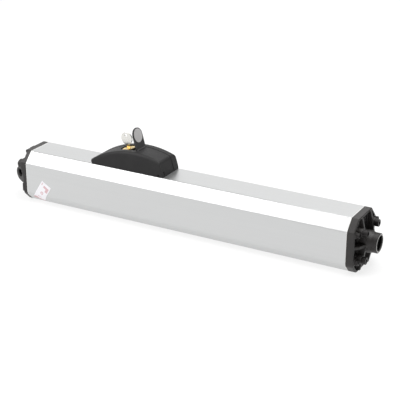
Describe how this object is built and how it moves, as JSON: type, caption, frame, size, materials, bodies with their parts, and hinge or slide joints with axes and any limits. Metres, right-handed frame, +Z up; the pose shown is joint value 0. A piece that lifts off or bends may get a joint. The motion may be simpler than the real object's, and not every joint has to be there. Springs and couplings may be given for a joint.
{
  "type": "hydraulic swing door operator",
  "caption": "Linear hydraulic swing operator: octagonal aluminium oil tank with cast end flanges, rear pivot eye, rod outlet, and an arched key-release cover with dust flap.",
  "frame": {"origin": "centre of the rear pivot eye, on the axis of the ram", "axes": "+X along the ram from the rear pivot towards the rod end, +Y along the rear pivot pin, +Z up through the release cover"},
  "size_m": [0.7523, 0.0966, 0.176],
  "materials": {
    "tank_aluminium": "satin natural anodised, drawn along its length",
    "gasket_paper": "matt pressed gasket sheet",
    "cast_black": "black satin coating on a fine cast skin",
    "black_screws": "black oxide with a light oil sheen",
    "bearing_bronze": "turned bronze",
    "black_plastic": "matt moulded",
    "cover_plastic": "fine spark texture, satin",
    "zinc_screws": "bright zinc plate",
    "lock_brass": "turned brass",
    "key_nickel": "worn nickel over brass",
    "turned_steel": "turned",
    "machined_aluminium": "machined",
    "flap_plastic": "satin moulded",
    "badge_grey": "plain satin label disc",
    "spring_steel": "drawn wire",
    "filter_brass": "drawn brass",
    "cylinder_steel": "honed steel tube, oiled",
    "seal_rubber": "oiled brown-black rubber",
    "ring_steel": "faced steel",
    "rod_chrome": "ground hard chrome",
    "guide_plastic": "machined",
    "core_steel": "varnished laminations",
    "winding_copper": "enamelled copper"
  },
  "bodies": {
    "housing": {"tank_extrusion": "tank_aluminium", "front_gasket": "gasket_paper", "rear_gasket": "gasket_paper", "front_flange": "cast_black", "front_flange_screws": "black_screws", "tie_rods": "black_screws", "vent_screw": "black_screws", "rear_flange": "cast_black", "rear_flange_screws": "black_screws", "oil_filler_plug": "black_screws", "breather_plug": "black_screws", "pivot_bush": "black_plastic", "cable_gland": "black_plastic", "release_cover": "cover_plastic", "cover_base": "black_plastic", "base_screws": "zinc_screws", "cover_screws": "black_screws", "lock_barrel": "lock_brass", "release_bush": "machined_aluminium", "flap_pin": "turned_steel", "valve_block": "machined_aluminium", "bypass_springs": "spring_steel", "bypass_balls": "turned_steel", "suction_filter": "filter_brass", "cylinder_tube": "cylinder_steel", "cylinder_head": "machined_aluminium", "rod_guide_bush": "bearing_bronze", "rod_seal": "seal_rubber", "rod_wiper": "seal_rubber", "nose_ring": "ring_steel", "pressure_pipe": "filter_brass", "pump_housing": "machined_aluminium", "pump_cover": "machined_aluminium", "motor_adapter": "machined_aluminium", "stator_core": "core_steel", "stator_windings": "winding_copper", "motor_bearings": "turned_steel", "motor_rear_shield": "machined_aluminium", "motor_bolts": "zinc_screws"},
    "ram": {"piston_rod": "rod_chrome", "piston": "machined_aluminium", "piston_seals": "seal_rubber", "piston_guide_ring": "guide_plastic", "piston_nut": "zinc_screws"},
    "release": {"key": "key_nickel", "lock_plug": "lock_brass", "release_spindle": "turned_steel", "release_needle": "turned_steel"},
    "flap": {"dust_flap": "flap_plastic", "flap_badge": "badge_grey"},
    "rotor": {"rotor_core": "core_steel", "motor_shaft": "turned_steel", "shaft_coupling": "machined_aluminium", "pump_shaft": "turned_steel", "pump_drive_gear": "turned_steel"},
    "idler": {"pump_idler_gear": "turned_steel"},
    "opening_adjuster": {"bypass_screw_opening": "turned_steel"},
    "closing_adjuster": {"bypass_screw_closing": "lock_brass"}
  },
  "joints": [
    {"name": "rod_slide", "type": "slide", "parent": "housing", "child": "ram", "axis": [1, 0, 0], "range_m": [0, 0.3]},
    {"name": "key_turn", "type": "hinge", "parent": "housing", "child": "release", "pos_m": [0.2365, 0, 0.0836], "axis": [-0.225, 0, 0.9744], "range_deg": [0, 90]},
    {"name": "flap_hinge", "type": "hinge", "parent": "housing", "child": "flap", "pos_m": [0.263, 0, 0.0859], "axis": [0, 1, 0], "range_deg": [-20, 30]},
    {"name": "rotor_spin", "type": "hinge", "parent": "housing", "child": "rotor", "pos_m": [0.11, 0, 0], "axis": [1, 0, 0], "continuous": true},
    {"name": "idler_spin", "type": "hinge", "parent": "housing", "child": "idler", "pos_m": [0.2, 0, -0.016], "axis": [1, 0, 0], "continuous": true},
    {"name": "opening_adjust", "type": "hinge", "parent": "housing", "child": "opening_adjuster", "pos_m": [0.278, -0.014, 0.04], "axis": [0, 0, 1], "range_deg": [-180, 180]},
    {"name": "closing_adjust", "type": "hinge", "parent": "housing", "child": "closing_adjuster", "pos_m": [0.278, 0.014, 0.04], "axis": [0, 0, 1], "range_deg": [-180, 180]}
  ],
  "couplings": [
    {"joint": "idler_spin", "follows": "rotor_spin", "ratio": -1}
  ]
}
